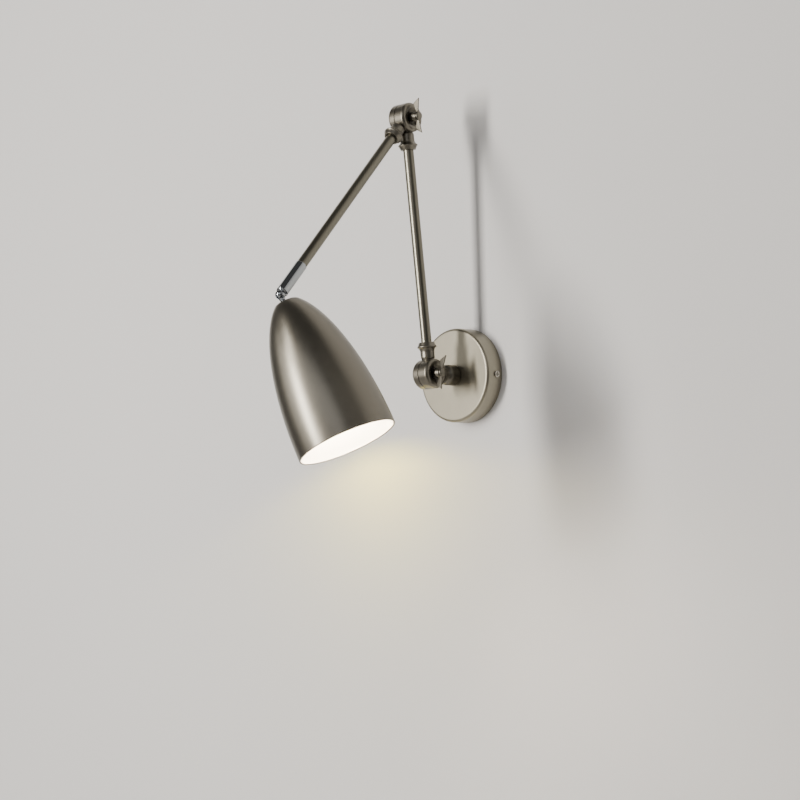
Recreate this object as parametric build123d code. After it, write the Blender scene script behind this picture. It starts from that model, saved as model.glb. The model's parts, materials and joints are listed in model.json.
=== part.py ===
from build123d import *
import os

# Articulating wall lamp in millimetres.
# The wall is the plane Y = 0, the lamp reaches out along -Y, and +Z is up.
# The origin is the centre of the wall plate's back edge, on the wall.

# ---------------------------------------------------------------- driving dimensions
# Wall plate: a spun cup, open at the back
plate_radius = 50.0
plate_depth = 22.0
plate_wall = 1.4
plate_edge_radius = 3.2
plate_rim_foot = 2.6            # the turned-in rim that lies on the wall
plate_rim_thickness = 1.2

# Wall bracket: a bent steel strip inside the plate
bracket_width = 18.0
bracket_thickness = 1.6
bracket_standoff = 1.6          # the joggle that lifts the strip's middle off the wall
bracket_tab_height = 15.0
bracket_tongue_width = 20.0
wall_screw_spacing = 60.0
wall_slot_width = 4.6
wall_slot_length = 10.0
side_screw_diameter = 4.0
side_screw_from_wall = 8.5
side_screw_head_diameter = 7.4
side_screw_head_height = 1.7
side_screw_length = 9.0
screw_recess = 1.0              # depth of a driver's cut
driver_slot_width = 0.8
earth_screw_offset = 17.0       # from the bracket's middle
earth_screw_diameter = 4.0
earth_screw_length = 6.0
earth_cup_diameter = 9.0
earth_cup_thickness = 1.0
terminal_length = 30.0
terminal_depth = 11.0
terminal_height = 13.0
terminal_ways = 3
terminal_bore = 4.2
terminal_floor = 1.8
terminal_barrel_radius = 3.9
terminal_screw_diameter = 3.4
terminal_above_centre = 17.0

# Stub: the short boss that turns in the plate and carries the lower hinge
hinge_from_wall = 58.3
boss_diameter = 21.8
boss_length = 10.0
boss_shoulder_height = 4.5       # rounded, over the neck
boss_edge_radius = 1.4
nipple_diameter = 10.0
nipple_bore = 7.0
nipple_seat = 9.0               # length screwed into the boss
slip_washer_diameter = 18.0
slip_washer_thickness = 1.0
spring_cup_diameter = 17.0
spring_cup_thickness = 1.4
stub_nut_across_flats = 14.0
stub_nut_height = 4.0
nipple_stands_proud = 1.2

# Knuckle: two cast half drums clamped side by side, each with its own neck
drum_radius = 15.7
plain_half_width = 8.5
nut_half_width = 12.4
friction_disc_thickness = 0.8
drum_edge_radius = 3.4
plain_edge_radius = 2.6
neck_offset = 2.4               # from the plain half's inner face to the arms' centre plane
neck_root_radius = 6.3
neck_waist_radius = 7.5
neck_waist_height = 18.5        # from the hinge axis
neck_length = 33.6
collar_radius = 10.3
collar_lip_height = 2.2
collar_cone_height = 3.6        # above the lip, tapering in to the tube
collar_top_radius = 7.9
collar_flare = 5.2              # height over which the neck swells out to the lip
socket_depth = 9.0
wire_bore = 6.4
cavity_inner_radius = 4.9
cavity_outer_radius = 11.4
cavity_depth = 3.4
nut_recess_radius = 9.1
nut_recess_depth = 4.6
bolt_recess_radius = 8.4
bolt_recess_depth = 2.2
friction_disc_radius = 14.2

# Pivot bolt, washers and wing nut
bolt_diameter = 6.0
bolt_head_radius = 7.6
bolt_head_height = 3.0
bolt_square = 6.0
bolt_square_length = 2.4
flat_washer_diameter = 12.4
flat_washer_thickness = 1.2
spring_washer_diameter = 11.6
spring_washer_thickness = 1.6
spring_washer_gap = 1.2
wing_hub_base_radius = 4.2
wing_hub_ball_radius = 5.2      # the hub swells here, under the ears
wing_hub_ball_height = 4.2      # from the nut's base
wing_hub_neck_radius = 4.3      # where the ears leave the hub
wing_hub_neck_height = 7.6
wing_hub_dome_radius = 4.6
wing_hub_dome_height = 9.2
wing_hub_length = 11.6
wing_hub_wall = 1.8             # closed end, over the end of the bolt
wing_reach = 18.5               # from the axis to the tip of an ear
wing_thickness = 1.8
wing_root_low = 6.8             # the ear's edges where it leaves the hub
wing_root_high = 9.6
wing_low_reach = 13.6           # the ear is widest here
wing_low_height = 4.4
wing_tip_height = 12.0
wing_tip_width = 1.3
wing_edge_radius = 0.5

# Arms
tube_diameter = 11.0
tube_wall = 1.0
lower_tube_visible = 204.4
upper_tube_visible = 204.4

# Chrome sleeve and swivel at the end of the upper arm
sleeve_diameter = 12.2
sleeve_visible = 40.6
sleeve_socket_depth = 12.0
sleeve_bore = 9.4
ball_diameter = 10.2
ball_beyond_sleeve = 4.0
swivel_shank_length = 20.0      # inside the sleeve, behind its end
swivel_thread_diameter = 6.0
swivel_nut_diameter = 10.4
swivel_nut_height = 3.0
swivel_slot_width = 4.0
swivel_slot_behind_centre = 3.9
swivel_pin_diameter = 2.6
stem_eye_radius = 3.6
stem_diameter = 5.6
stem_collar_diameter = 12.0
stem_collar_thickness = 1.4
stem_thread_diameter = 8.0
stem_bore = 4.0

# Shade: a spun bullet, seen from the swivel's ball along its own axis
shade_top = 9.6                 # from the ball's centre to the flat top
shade_offset = 3.0              # the shade's axis runs this far beside the ball's centre
shade_length = 154.4
shade_mouth_radius = 50.8
shade_nose = 5.6                # how far the full bullet outline would run past the flat top
shade_wall = 1.1
shade_hem_width = 2.0
shade_hem_height = 2.4
shade_top_edge_radius = 2.0
bullet_power_along = 2.08
bullet_power_across = 1.83

# Lampholder and lamp bulb
washer_under_nut_diameter = 17.0
washer_under_nut_thickness = 1.2
shade_nut_across_flats = 12.0
shade_nut_height = 3.6
holder_cap_diameter = 24.0
holder_cap_height = 11.0
holder_diameter = 27.0
holder_length = 30.0
holder_bore_depth = 24.0
holder_rib_count = 24
holder_rib_height = 0.7
holder_shell_wall = 0.7
holder_shell_length = 17.0
contact_radius = 3.6
contact_thickness = 0.6
bulb_cap_diameter = 14.0
bulb_cap_length = 17.0
bulb_tip_height = 2.6
bulb_neck_diameter = 19.0
bulb_body_diameter = 34.0
bulb_body_length = 27.0
bulb_globe_diameter = 45.0
bulb_shell = 1.2

# Clearances
running_gap = 0.05              # around a shaft, on the radius
face_gap = 0.1                  # between faces that slide on each other
drum_gap = 0.45                 # between one half's neck and the other half's drum
loose_gap = 0.3                 # between curved faces that never touch
hole_gap = 0.25                 # around a screw, on the radius

# Rest pose, in degrees, as the lamp is set up
swivel_angle = 3.5              # the arms lean to -X about the wall's normal
lower_tilt = 4.1                # the lower arm leans away from the wall
elbow_twist = 3.3               # between the two ends of the lower arm
elbow_opening = 48.6            # between the two arms
head_turn = 25.1                # of the swivel in the chrome sleeve
head_tilt = 55.8                # between the upper arm's line and the shade's axis
lower_wing_angle = -13.7        # of the wing nuts' ears from upright
elbow_wing_angle = 0.0

# ---------------------------------------------------------------- derived places
drum_face = friction_disc_thickness + face_gap
arm_joint_to_joint = 2 * neck_length + lower_tube_visible
sleeve_start = neck_length + upper_tube_visible
sleeve_end = sleeve_start + sleeve_visible
ball_from_elbow = sleeve_end + ball_beyond_sleeve

wall_frame = Location((0, 0, 0))
swivel_frame = Rot(Y=-swivel_angle)
stub_frame = swivel_frame * Pos(0, -hinge_from_wall, 0) * Rot(X=-90)
lower_arm_frame = swivel_frame * Pos(0, -hinge_from_wall, 0) * Rot(X=lower_tilt)
elbow_frame = lower_arm_frame * Pos(0, 0, arm_joint_to_joint) * Rot(Z=elbow_twist)
elbow_lower_frame = elbow_frame * Rot(X=180)
upper_arm_frame = elbow_frame * Rot(X=180 - elbow_opening)
head_swivel_frame = upper_arm_frame * Pos(0, 0, ball_from_elbow) * Rot(Z=head_turn)
head_frame = head_swivel_frame * Rot(X=head_tilt)
shade_frame = head_frame * Pos(0, -shade_offset, 0)

parts = {}


def add(name, shape, frame):
    """Keep a sub-part under its name, moved from its own frame to its place on the lamp."""
    parts[name] = frame * shape


# ---------------------------------------------------------------- small shape helpers
def rod(radius, start, end, centre=(0, 0)):
    """A cylinder along Z from start to end."""
    place = Pos(centre[0], centre[1], start)
    return place * Cylinder(radius, end - start, align=(Align.CENTER, Align.CENTER, Align.MIN))


def ring(outer, inner, start, end):
    return rod(outer, start, end) - rod(inner, start - 1, end + 1)


def along_x(shape):
    """Turn a shape made along Z so that it lies along X."""
    return Rot(Y=90) * shape


def side_face(*outline):
    """The flat face inside a closed outline of (x, z) points and curves."""
    return Plane.XZ * make_face(Curve() + list(outline))


def turned(*outline):
    """Revolve a closed outline of (radius, height) points and curves about Z."""
    return revolve(side_face(*outline), Axis.Z)


def hexagon(across_flats, start, end):
    sketch = RegularPolygon(across_flats / 2, 6, major_radius=False)
    return extrude(Pos(0, 0, start) * sketch, end - start)


def cross_recess(size, depth):
    """The cross-shaped cut of a screwdriver, from Z = 0 down."""
    bar = Box(size, size * 0.24, depth, align=(Align.CENTER, Align.CENTER, Align.MAX))
    return bar + Rot(Z=90) * bar


def pan_screw(diameter, length, head_diameter, head_height):
    """A pan-head screw along Z: the head's seat is at 0 and its top is up."""
    head = rod(head_diameter / 2, 0, head_height)
    head = fillet(head.edges().group_by(Axis.Z)[-1], head_height * 0.55)
    cut = Pos(0, 0, head_height) * cross_recess(head_diameter * 0.6, screw_recess)
    shank = rod(diameter / 2, -length, 0)
    tip = shank.edges().group_by(Axis.Z)[0]
    return head + chamfer(tip, diameter * 0.12) - cut


# ---------------------------------------------------------------- wall plate and bracket
plate_frame = wall_frame * Rot(X=90)         # its Z points from the wall into the room
bracket_top = bracket_standoff + bracket_thickness
foot_inner_radius = plate_radius - plate_wall - plate_rim_foot
stub_hole_radius = nipple_diameter / 2 + running_gap
terminal_pitch = terminal_length / terminal_ways


def toward_side(side, shape):
    """Lay a shape made along Z along +X or -X, at the height of the side screws."""
    return Pos(0, 0, side_screw_from_wall) * Rot(Y=90 * side) * shape


def wall_plate():
    """A round cup with a rounded front edge and a narrow rim turned in at the wall."""
    cup = rod(plate_radius, 0, plate_depth)
    cup = fillet(cup.edges().group_by(Axis.Z)[-1], plate_edge_radius)
    hollow = rod(plate_radius - plate_wall, -1, plate_depth - plate_wall)
    hollow = fillet(hollow.edges().group_by(Axis.Z)[-1], plate_edge_radius - plate_wall)
    foot = ring(plate_radius - plate_wall / 2, foot_inner_radius, 0, plate_rim_thickness)
    cup = cup - hollow + foot - rod(stub_hole_radius, 0, plate_depth + 1)
    for side in (-1, 1):
        cup -= toward_side(side, rod(side_screw_diameter / 2 + hole_gap, 0, plate_radius + 1))
    return cup


def wall_bracket():
    """A steel strip: raised middle, slots for the wall screws, bent-up tabs, terminal tongue."""
    tab_face = ((foot_inner_radius - hole_gap) ** 2 - (bracket_width / 2) ** 2) ** 0.5
    low = bracket_thickness / 2
    high = low + bracket_standoff
    reach = tab_face - bracket_thickness / 2
    joggle = wall_screw_spacing / 2 - wall_slot_length
    right = [(0, high), (joggle, high), (joggle + bracket_standoff, low),
             (reach, low), (reach, bracket_tab_height)]
    left = [(-x, z) for x, z in right[:0:-1]]
    side_view = Plane.XZ * trace(Polyline(*left, *right), bracket_thickness)
    strip = extrude(side_view, bracket_width / 2, both=True)
    tongue_end = terminal_above_centre + terminal_height / 2
    strip += Pos(0, 0, bracket_standoff) * Box(bracket_tongue_width, tongue_end, bracket_thickness,
                                               align=(Align.CENTER, Align.MIN, Align.MIN))
    slot = SlotCenterToCenter(wall_slot_length - wall_slot_width, wall_slot_width)
    for side in (-1, 1):
        slot_cut = extrude(slot, bracket_tab_height / 2, both=True)
        strip -= Pos(side * wall_screw_spacing / 2, 0, 0) * slot_cut
        strip -= toward_side(side, rod(side_screw_diameter / 2, 0, plate_radius))
    return strip - rod(earth_screw_diameter / 2, -1, bracket_top + 1, (-earth_screw_offset, 0))


def side_screws():
    """Two cross-head screws through the plate's rim into the bracket's tabs."""
    screw = pan_screw(side_screw_diameter, side_screw_length, side_screw_head_diameter,
                      side_screw_head_height)
    return Part() + [toward_side(side, Pos(0, 0, plate_radius) * screw) for side in (-1, 1)]


def earth_screw():
    screw = pan_screw(earth_screw_diameter, earth_screw_length, side_screw_head_diameter,
                      side_screw_head_height)
    return Pos(-earth_screw_offset, 0, bracket_top + earth_cup_thickness) * screw


def earth_washer():
    washer = ring(earth_cup_diameter / 2, earth_screw_diameter / 2, 0, earth_cup_thickness)
    return Pos(-earth_screw_offset, 0, bracket_top) * washer


def terminal_ways_at(shape):
    """Copies of a shape, one at each way of the terminal block."""
    middle = (terminal_ways - 1) / 2
    return [Pos((way - middle) * terminal_pitch, 0, 0) * shape for way in range(terminal_ways)]


def terminal_block():
    """A moulded strip of wire clamps: a body with one raised barrel over each way."""
    wire_height = terminal_floor + terminal_bore / 2
    body = Box(terminal_length, terminal_height, wire_height + terminal_bore / 2 + terminal_floor,
               align=(Align.CENTER, Align.CENTER, Align.MIN))
    body = fillet(body.edges().filter_by(Axis.Z), 1.2)
    for barrel in terminal_ways_at(rod(terminal_barrel_radius, wire_height, terminal_depth)):
        body += barrel
    wire = Rot(X=90) * rod(terminal_bore / 2, -terminal_height, terminal_height)
    screw_hole = rod(terminal_screw_diameter / 2, wire_height, terminal_depth + 1)
    for cut in terminal_ways_at(Pos(0, 0, wire_height) * wire) + terminal_ways_at(screw_hole):
        body -= cut
    return body


def terminal_screws():
    """One slotted clamp screw down each barrel of the terminal block."""
    start = terminal_floor + terminal_bore
    screw = rod(terminal_screw_diameter / 2, start, terminal_depth - screw_recess)
    slot = Box(terminal_screw_diameter, driver_slot_width, screw_recess)
    screw -= Pos(0, 0, terminal_depth - 1.5 * screw_recess) * slot
    return Part() + terminal_ways_at(screw)


terminal_frame = plate_frame * Pos(0, terminal_above_centre, bracket_top)
add("wall_plate", wall_plate(), plate_frame)
add("wall_bracket", wall_bracket(), plate_frame)
add("plate_side_screws", side_screws(), plate_frame)
add("earth_screw", earth_screw(), plate_frame)
add("earth_washer", earth_washer(), plate_frame)
add("terminal_block", terminal_block(), terminal_frame)
add("terminal_screws", terminal_screws(), terminal_frame)

# ---------------------------------------------------------------- knuckle halves
# In a knuckle's frame the hinge axis is X and its own neck points along +Z.
# Both necks are centred on the plane X = 0, so the two arms lie in one plane.
plain_face = -neck_offset
nut_side_face = plain_face + friction_disc_thickness + face_gap
drum_end = nut_side_face + nut_half_width
recess_floor = drum_end - nut_recess_depth
head_seat = plain_face - plain_half_width + bolt_recess_depth
neck_start = cavity_outer_radius - 1
neck_shoulder = drum_radius - 1
lip_top = neck_length - collar_cone_height
lip_bottom = lip_top - collar_lip_height
lip_edge = collar_radius - collar_lip_height / 3


def neck_side():
    """The cast neck's side up to its waist: narrow at the drum, where the other neck folds in."""
    shoulder = (neck_root_radius, neck_shoulder)
    waist = (neck_waist_radius, neck_waist_height)
    return [Polyline((0, neck_start), (neck_root_radius, neck_start), shoulder),
            Spline(shoulder, waist, tangents=[(0.45, 1), (0, 1)])]


def arm_neck():
    """A turned neck that flares to a rounded lip, then tapers in to the arm's tube."""
    waist = (neck_waist_radius, neck_waist_height)
    flare = (neck_waist_radius, lip_bottom - collar_flare)
    low = (lip_edge, lip_bottom)
    high = (lip_edge, lip_top)
    neck = turned(*neck_side(),
                  Line(waist, flare),
                  Spline(flare, low, tangents=[(0, 1), (1, 0.8)]),
                  ThreePointArc(low, (collar_radius, (lip_bottom + lip_top) / 2), high),
                  Polyline(high, (collar_top_radius, neck_length), (0, neck_length),
                           (0, neck_start)))
    return neck - rod(tube_diameter / 2, neck_length - socket_depth, neck_length + 1)


def stub_neck():
    """The stub's neck: it swells into the round boss that turns on the wall plate."""
    boss_end = hinge_from_wall - plate_depth - face_gap
    waist = (neck_waist_radius, neck_waist_height)
    boss_start = (boss_diameter / 2, boss_end - boss_length)
    shoulder = (neck_waist_radius, boss_start[1] - boss_shoulder_height)
    neck = turned(*neck_side(),
                  Line(waist, shoulder),
                  Spline(shoulder, boss_start, tangents=[(1, 0.5), (0, 1)]),
                  Polyline(boss_start, (boss_diameter / 2, boss_end), (0, boss_end),
                           (0, neck_start)))
    neck = fillet(neck.edges().group_by(Axis.Z)[-1], boss_edge_radius)
    return neck - rod(nipple_diameter / 2, boss_end - nipple_seat, boss_end + 1)


def half(disc, neck, clear_from, clear_to, wire_x):
    """Join a half drum and its neck, cut clear of the other half's drum, and bore the wireway."""
    wire_radius = cavity_depth / 2 - loose_gap
    clearance = rod(drum_radius + drum_gap, clear_from, clear_to)
    solid = disc + (neck - along_x(clearance))
    crossing = neck_waist_height
    solid -= rod(wire_radius, cavity_inner_radius + wire_radius, crossing, (wire_x, 0))
    return solid - rod(wire_bore / 2, drum_radius + drum_gap, neck_length)


def plain_half(neck):
    """The half on the bolt head's side: rounded outside, hollow inside for the wire."""
    disc = rod(drum_radius, 0, plain_half_width)
    disc = fillet(disc.edges().group_by(Axis.Z)[0], plain_edge_radius)
    disc -= rod(bolt_recess_radius, -1, bolt_recess_depth)
    disc -= rod(bolt_diameter / 2, 0, plain_half_width + 1)
    square = Box(bolt_square, bolt_square, bolt_square_length,
                 align=(Align.CENTER, Align.CENTER, Align.MIN))
    disc -= Pos(0, 0, bolt_recess_depth) * square
    disc = Pos(plain_face - plain_half_width, 0, 0) * along_x(disc)
    cavity = ring(cavity_outer_radius, cavity_inner_radius, plain_face - cavity_depth,
                  plain_face + 1)
    wire_x = plain_face - cavity_depth / 2
    solid = half(disc, neck, plain_face, drum_end + loose_gap, wire_x)
    return solid - along_x(cavity)


def nut_half():
    """The half on the wing nut's side: a rounded rim round the recess that takes the nut."""
    disc = rod(drum_radius, nut_side_face, drum_end)
    disc = fillet(disc.edges().group_by(Axis.Z)[-1], drum_edge_radius)
    disc -= rod(nut_recess_radius, recess_floor, drum_end + 1)
    disc -= rod(bolt_diameter / 2 + running_gap, nut_side_face - 1, drum_end)
    cavity = ring(cavity_outer_radius, cavity_inner_radius, nut_side_face - 1,
                  nut_side_face + cavity_depth)
    wire_x = nut_side_face + cavity_depth / 2
    far_side = plain_face - plain_half_width - loose_gap
    solid = half(along_x(disc), arm_neck(), far_side, nut_side_face, wire_x)
    return solid - along_x(cavity)


# ---------------------------------------------------------------- pivot bolt, washers, wing nut
flat_washer_start = recess_floor + face_gap
spring_washer_start = flat_washer_start + flat_washer_thickness
wing_base = spring_washer_start + spring_washer_thickness + face_gap
bolt_end = wing_base + wing_hub_length - wing_hub_wall - face_gap


def pivot_bolt():
    """A mushroom-head bolt whose square neck stops it turning in the plain half."""
    dome_radius = (bolt_head_radius ** 2 + bolt_head_height ** 2) / (2 * bolt_head_height)
    head = Pos(0, 0, dome_radius - bolt_head_height) * Sphere(dome_radius)
    head = split(head, Plane.XY, keep=Keep.BOTTOM)
    square = Box(bolt_square, bolt_square, bolt_square_length,
                 align=(Align.CENTER, Align.CENTER, Align.MIN))
    shank = rod(bolt_diameter / 2, 0, bolt_end - head_seat)
    shank = fillet(shank.edges().group_by(Axis.Z)[-1], bolt_diameter / 5)
    return Pos(head_seat, 0, 0) * along_x(head + square + shank)


def friction_disc():
    disc = ring(friction_disc_radius, bolt_diameter / 2 + hole_gap, plain_face,
                plain_face + friction_disc_thickness)
    return along_x(disc)


def flat_washer():
    return along_x(ring(flat_washer_diameter / 2, bolt_diameter / 2 + hole_gap, flat_washer_start,
                        flat_washer_start + flat_washer_thickness))


def spring_washer():
    """A split ring with a slanted gap."""
    end = spring_washer_start + spring_washer_thickness
    washer = ring(spring_washer_diameter / 2, bolt_diameter / 2 + hole_gap, spring_washer_start, end)
    middle = (spring_washer_start + end) / 2
    gap = Box(spring_washer_diameter, spring_washer_gap, 4 * spring_washer_thickness,
              align=(Align.MIN, Align.CENTER, Align.CENTER))
    return along_x(washer - Pos(0, 0, middle) * Rot(X=30) * gap)


def wing_nut():
    """A cast nut: a hub that swells under the ears and ends in a dome, and two pointed ears."""
    base = (wing_hub_base_radius, 0)
    ball = (wing_hub_ball_radius, wing_hub_ball_height)
    neck = (wing_hub_neck_radius, wing_hub_neck_height)
    dome = (wing_hub_dome_radius, wing_hub_dome_height)
    top = (0, wing_hub_length)
    hub = turned(Polyline(top, (0, 0), base),
                 Spline(base, ball, neck, dome, top, tangents=[(1, 1), (-1, 0)]))
    inside = wing_hub_neck_radius * 0.9
    root_low = (inside, wing_root_low)
    root_high = (inside, wing_root_high)
    low = (wing_low_reach, wing_low_height)
    tip_low = (wing_reach - wing_tip_width / 2, wing_tip_height - wing_tip_width)
    tip = (wing_reach, wing_tip_height)
    ear = extrude(side_face(Line(root_high, root_low),
                            Spline(root_low, low, tangents=[(1, -0.1), (1, -0.1)]),
                            Spline(low, tip_low, tangents=[(1, 0.9), (0.8, 1)]),
                            Polyline(tip_low, tip, root_high)),
                  wing_thickness / 2, both=True)
    ear = fillet(ear.edges().filter_by(Axis.Y, reverse=True), wing_edge_radius)
    nut = hub + Rot(Z=90) * ear + Rot(Z=-90) * ear
    nut -= rod(bolt_diameter / 2 + running_gap, -1, wing_hub_length - wing_hub_wall)
    return Pos(wing_base, 0, 0) * along_x(nut)


def add_clamp(prefix, knuckle_frame, wing_frame):
    """The bolt, washers and wing nut that clamp one hinge."""
    add(prefix + "_pivot_bolt", pivot_bolt(), knuckle_frame)
    add(prefix + "_friction_disc", friction_disc(), knuckle_frame)
    add(prefix + "_flat_washer", flat_washer(), knuckle_frame)
    add(prefix + "_spring_washer", spring_washer(), knuckle_frame)
    add(prefix + "_wing_nut", wing_nut(), wing_frame)


# ---------------------------------------------------------------- stub on the wall plate
add("stub_knuckle", plain_half(stub_neck()), stub_frame)

plate_inner_face = hinge_from_wall - plate_depth + plate_wall
slip_washer_start = plate_inner_face + face_gap
spring_cup_start = slip_washer_start + slip_washer_thickness
stub_nut_start = spring_cup_start + spring_cup_thickness
stub_nut_end = stub_nut_start + stub_nut_height
boss_face = hinge_from_wall - plate_depth - face_gap


def spring_cup():
    """A dished spring washer: a shallow cone that keeps the swivel tight."""
    inner = nipple_diameter / 2 + hole_gap
    outer = spring_cup_diameter / 2
    sheet = spring_cup_thickness / 2
    top = spring_cup_start + spring_cup_thickness
    return turned(Polyline((outer, spring_cup_start), (inner, top - sheet), (inner, top),
                           (outer, spring_cup_start + sheet), (outer, spring_cup_start)))


add("stub_nipple", ring(nipple_diameter / 2, nipple_bore / 2, boss_face - nipple_seat,
                        stub_nut_end + nipple_stands_proud), stub_frame)
add("stub_slip_washer", ring(slip_washer_diameter / 2, nipple_diameter / 2 + hole_gap,
                             slip_washer_start, spring_cup_start), stub_frame)
add("stub_spring_washer", spring_cup(), stub_frame)
add("stub_nut", hexagon(stub_nut_across_flats, stub_nut_start, stub_nut_end)
    - rod(nipple_diameter / 2, stub_nut_start - 1, stub_nut_end + 1), stub_frame)
add_clamp("lower", stub_frame, stub_frame * Rot(X=lower_wing_angle))

# ---------------------------------------------------------------- arms
tube_start = neck_length - socket_depth


def tube(length):
    return ring(tube_diameter / 2, tube_diameter / 2 - tube_wall, tube_start, tube_start + length)


add("lower_arm_knuckle", nut_half(), lower_arm_frame)
add("lower_arm_tube", tube(lower_tube_visible + 2 * socket_depth), lower_arm_frame)
add("elbow_lower_knuckle", nut_half(), elbow_lower_frame)
add("elbow_upper_knuckle", plain_half(arm_neck()), upper_arm_frame)
add("upper_arm_tube", tube(upper_tube_visible + socket_depth + sleeve_socket_depth),
    upper_arm_frame)
add_clamp("elbow", upper_arm_frame, elbow_frame * Rot(X=90 + elbow_wing_angle))

# ---------------------------------------------------------------- chrome sleeve and swivel
# Heights along the upper arm are counted back from the sleeve's open end.
swivel_step = sleeve_end - swivel_shank_length
swivel_origin = Pos(0, 0, -ball_from_elbow)


def chrome_sleeve():
    """A polished tube: wide bore over the arm's end, close bore for the swivel's shank."""
    sleeve = ring(sleeve_diameter / 2, sleeve_bore / 2, sleeve_start, sleeve_end)
    rim = sleeve.edges().filter_by(GeomType.CIRCLE).sort_by(SortBy.RADIUS)[-2:]
    sleeve = fillet(rim, 0.4)
    return sleeve - rod(tube_diameter / 2, sleeve_start - 1, swivel_step)


def swivel_fork():
    """The swivel: a shank that turns in the sleeve and a slotted ball that holds the stem."""
    step = -ball_beyond_sleeve - swivel_shank_length
    flange_low = -ball_beyond_sleeve + face_gap
    flange = rod(sleeve_diameter / 2 - 0.3, flange_low, flange_low + 0.8)
    shank = rod(sleeve_bore / 2 - running_gap, step, flange_low)
    thread_end = step - face_gap - swivel_nut_height - 1
    thread = rod(swivel_thread_diameter / 2, thread_end, step)
    fork = Sphere(ball_diameter / 2) + flange + shank + thread
    slot = Box(swivel_slot_width, sleeve_diameter * 2, ball_diameter * 2,
               align=(Align.CENTER, Align.CENTER, Align.MIN))
    fork -= Pos(0, 0, -swivel_slot_behind_centre) * slot
    return fork - along_x(rod(swivel_pin_diameter / 2, -ball_diameter, ball_diameter))


def swivel_nut():
    """The nut inside the sleeve that keeps the swivel from pulling out."""
    end = -ball_beyond_sleeve - swivel_shank_length - face_gap
    nut = rod(swivel_nut_diameter / 2, end - swivel_nut_height, end)
    nut -= Pos(0, 0, end - swivel_nut_height) * Box(swivel_nut_diameter, driver_slot_width * 2, 2)
    return nut - rod(swivel_thread_diameter / 2, end - swivel_nut_height - 1, end + 1)


def swivel_pin():
    half_length = ((ball_diameter / 2) ** 2 - (swivel_pin_diameter / 2) ** 2) ** 0.5 - 0.2
    return along_x(rod(swivel_pin_diameter / 2, -half_length, half_length))


add("chrome_sleeve", chrome_sleeve(), upper_arm_frame)
add("swivel_fork", swivel_fork(), head_swivel_frame)
add("swivel_nut", swivel_nut(), head_swivel_frame)
add("swivel_pin", swivel_pin(), head_swivel_frame)

# ---------------------------------------------------------------- stem and shade
# In the head's frame the ball's centre is the origin and the shade opens along +Z.
shade_mouth = shade_top + shade_length
inner_top = shade_top + shade_wall
under_nut_end = inner_top + washer_under_nut_thickness
shade_nut_end = under_nut_end + shade_nut_height
holder_cap_start = shade_nut_end + 1
holder_start = holder_cap_start + holder_cap_height
holder_mouth = holder_start + holder_length
stem_end = holder_cap_start + holder_cap_height / 2


def head_stem():
    """A flat eye in the ball's slot, a round stem, and an off-centre collar and thread."""
    eye = along_x(rod(stem_eye_radius, -swivel_slot_width / 2 + face_gap,
                      swivel_slot_width / 2 - face_gap))
    tab = Box(swivel_slot_width - 2 * face_gap, stem_diameter, ball_diameter / 2 + loose_gap,
              align=(Align.CENTER, Align.CENTER, Align.MIN))
    collar_start = shade_top - stem_collar_thickness
    beside = (0, -shade_offset)
    stem = eye + tab + rod(stem_diameter / 2, ball_diameter / 2 + loose_gap, shade_top)
    stem += rod(stem_collar_diameter / 2, collar_start, shade_top, beside)
    stem += rod(stem_thread_diameter / 2, shade_top, stem_end, beside)
    stem -= along_x(rod(swivel_pin_diameter / 2 + running_gap, -swivel_slot_width,
                        swivel_slot_width))
    stem -= rod(stem_bore / 2, ball_diameter / 2 + 1, shade_top)
    return stem - rod(stem_bore / 2, collar_start, stem_end + 1, beside)


def bullet_point(height, inset=0.0):
    """A point of the bullet outline, moved inwards by the inset along the outline's normal.

    The outline is a stretched ellipse: (r / R) to one power plus (distance from the mouth
    / full length) to another power equals one.
    """
    full = shade_length + shade_nose
    share = (shade_mouth - height) / full
    rest = 1 - share ** bullet_power_along
    radius = shade_mouth_radius * rest ** (1 / bullet_power_across)
    slope = (shade_mouth_radius / bullet_power_across * rest ** (1 / bullet_power_across - 1)
             * bullet_power_along * share ** (bullet_power_along - 1) / full)
    length = (1 + slope ** 2) ** 0.5
    return (radius - inset / length, height + inset * slope / length)


def shade():
    """A spun bullet with a flat top, a thin wall and a rolled hem at the mouth."""
    steps = 8
    heights = [shade_top + shade_length * (step / steps) ** 1.6 for step in range(steps + 1)]
    outside = [bullet_point(height) for height in heights]
    hem_top = shade_mouth - shade_hem_height
    inside = [point for point in (bullet_point(height, shade_wall) for height in heights)
              if inner_top + shade_wall < point[1] < hem_top - shade_hem_height]
    inner_corner = (bullet_point(inner_top)[0] - 2 * shade_wall, inner_top)
    hem_corner = (shade_mouth_radius - shade_wall, hem_top)
    hem_inner = shade_mouth_radius - shade_hem_width
    outline = [Line((0, shade_top), outside[0]),
               Spline(*outside),
               Line(outside[-1], (hem_inner, shade_mouth)),
               Polyline((hem_inner, shade_mouth), (hem_inner, hem_top), hem_corner),
               Spline(hem_corner, *inside[::-1], inner_corner),
               Polyline(inner_corner, (0, inner_top), (0, shade_top))]
    shell = turned(*outline)
    mouth = shell.edges().group_by(Axis.Z)[-1]
    shell = fillet(mouth, shade_hem_width * 0.4)
    top = shell.edges().group_by(Axis.Z)[0]
    shell = fillet(top, shade_top_edge_radius)
    return shell - rod(stem_thread_diameter / 2 + hole_gap, 0, inner_top + 1)


add("head_stem", head_stem(), head_frame)
add("shade", shade(), shade_frame)
add("shade_washer", ring(washer_under_nut_diameter / 2, stem_thread_diameter / 2 + hole_gap,
                         inner_top, under_nut_end), shade_frame)
add("shade_nut", hexagon(shade_nut_across_flats, under_nut_end, shade_nut_end)
    - rod(stem_thread_diameter / 2, 0, shade_nut_end + 1), shade_frame)

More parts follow.
